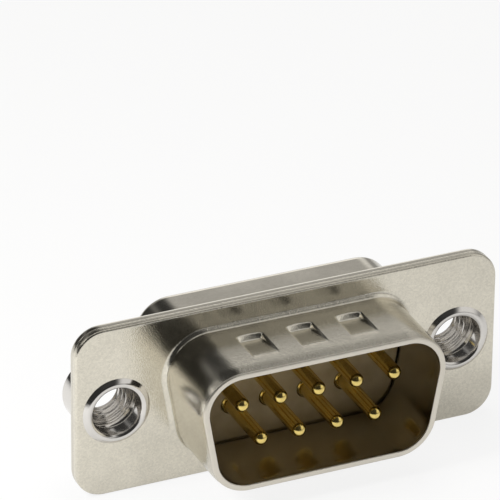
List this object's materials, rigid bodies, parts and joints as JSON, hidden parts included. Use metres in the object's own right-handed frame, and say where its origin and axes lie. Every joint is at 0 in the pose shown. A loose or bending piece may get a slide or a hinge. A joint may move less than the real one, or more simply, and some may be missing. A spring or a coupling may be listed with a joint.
{
  "type": "d-sub connector",
  "caption": "D-sub plug with solder cups: drawn metal shells with a D-shaped mouth, gold pins in a moulded insulator and riveted threaded standoffs on the flange.",
  "frame": {"origin": "middle of the front flange face, halfway between the two mounting holes", "axes": "+X along the flange, -Y the way the plug mates and the way its mouth opens, +Y towards the solder cups, +Z towards the wide side of the D with the row of five pins"},
  "size_m": [0.0308, 0.0151, 0.0126],
  "materials": {
    "front_shell_nickel": "bright tin or nickel plate, fine speckle",
    "rear_shell_nickel": "smooth nickel plate",
    "insulator": "moulded glass-filled thermoplastic, satin",
    "contact_gold": "gold plate, bright",
    "standoff_nickel": "nickel plate, bright"
  },
  "bodies": {
    "root": {"front_shell": "front_shell_nickel", "rear_shell": "rear_shell_nickel", "front_insulator": "insulator", "rear_insulator": "insulator", "contact_1": "contact_gold", "contact_2": "contact_gold", "contact_3": "contact_gold", "contact_4": "contact_gold", "contact_5": "contact_gold", "contact_6": "contact_gold", "contact_7": "contact_gold", "contact_8": "contact_gold", "contact_9": "contact_gold", "standoff_left": "standoff_nickel", "standoff_right": "standoff_nickel"}
  },
  "joints": []
}
